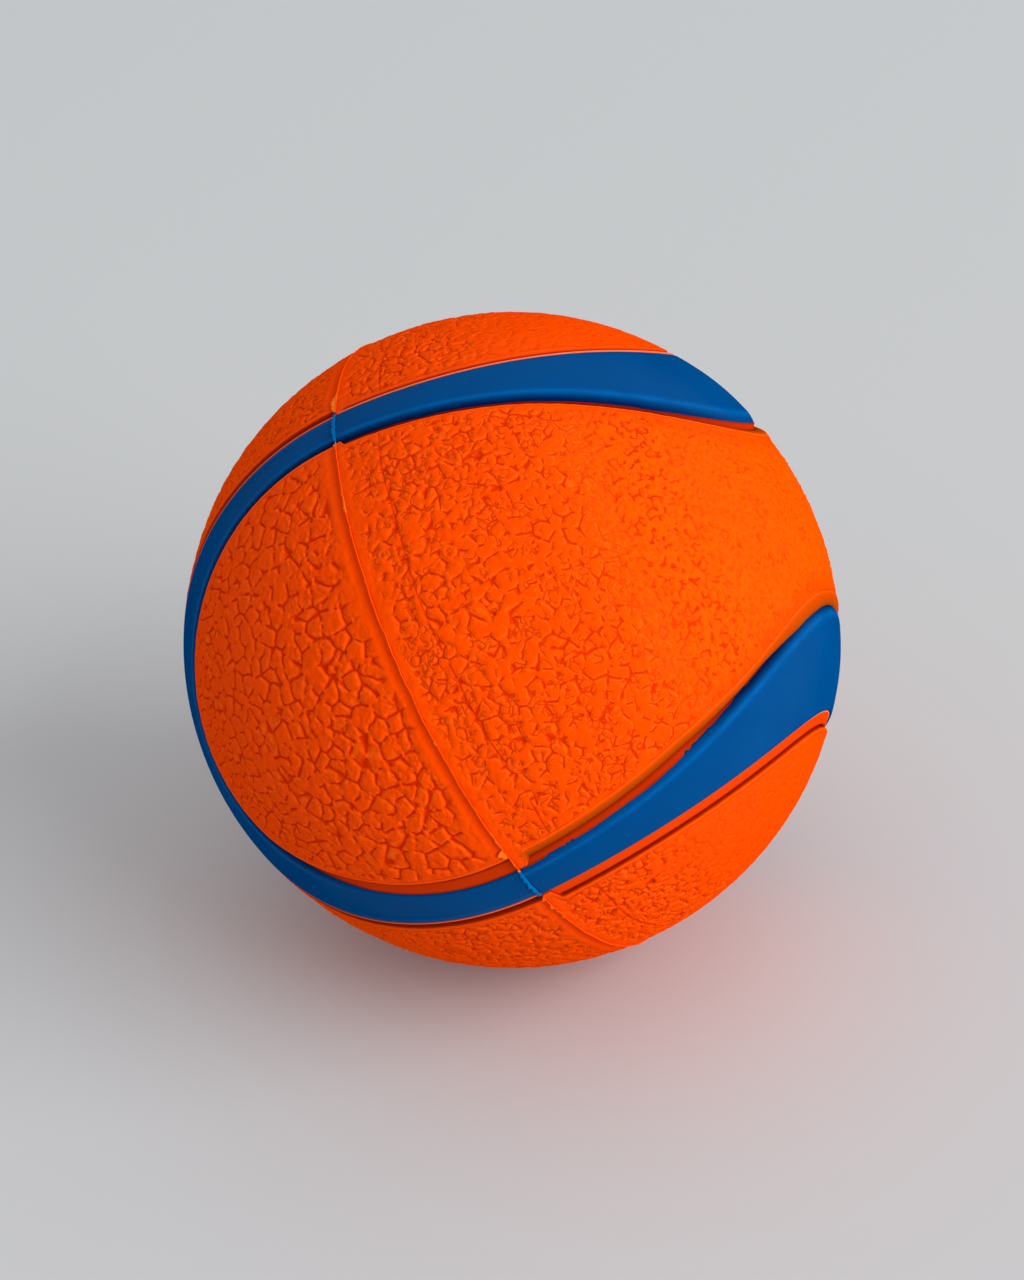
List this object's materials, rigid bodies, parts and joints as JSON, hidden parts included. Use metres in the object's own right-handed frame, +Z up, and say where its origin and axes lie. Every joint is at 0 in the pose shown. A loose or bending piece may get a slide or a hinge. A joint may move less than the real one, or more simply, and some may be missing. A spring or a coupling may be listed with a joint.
{
  "type": "rubber ball",
  "caption": "Hollow rubber fetch ball: orange half shells cemented on a parting plane, with a blue band inlaid along a tennis-ball seam.",
  "frame": {"origin": "centre of the ball", "axes": "+Z up as the ball lies, so the point it rests on is straight below the origin; +X is the level direction towards which the mould's opening axis leans, and that axis rises 25.9 degrees above +X; +Y completes the right-handed frame and lies in the parting plane"},
  "size_m": [0.0649, 0.0654, 0.065],
  "materials": {
    "orange_rubber": "satin natural rubber with a pebbled mould texture",
    "blue_rubber": "smooth satin rubber",
    "rubber_cement": "cured cement, dull"
  },
  "bodies": {
    "root": {"front_shell": "orange_rubber", "back_shell": "orange_rubber", "inlay_front_upper": "blue_rubber", "inlay_front_lower": "blue_rubber", "inlay_back_near": "blue_rubber", "inlay_back_far": "blue_rubber", "cement_ring": "rubber_cement"}
  },
  "joints": []
}
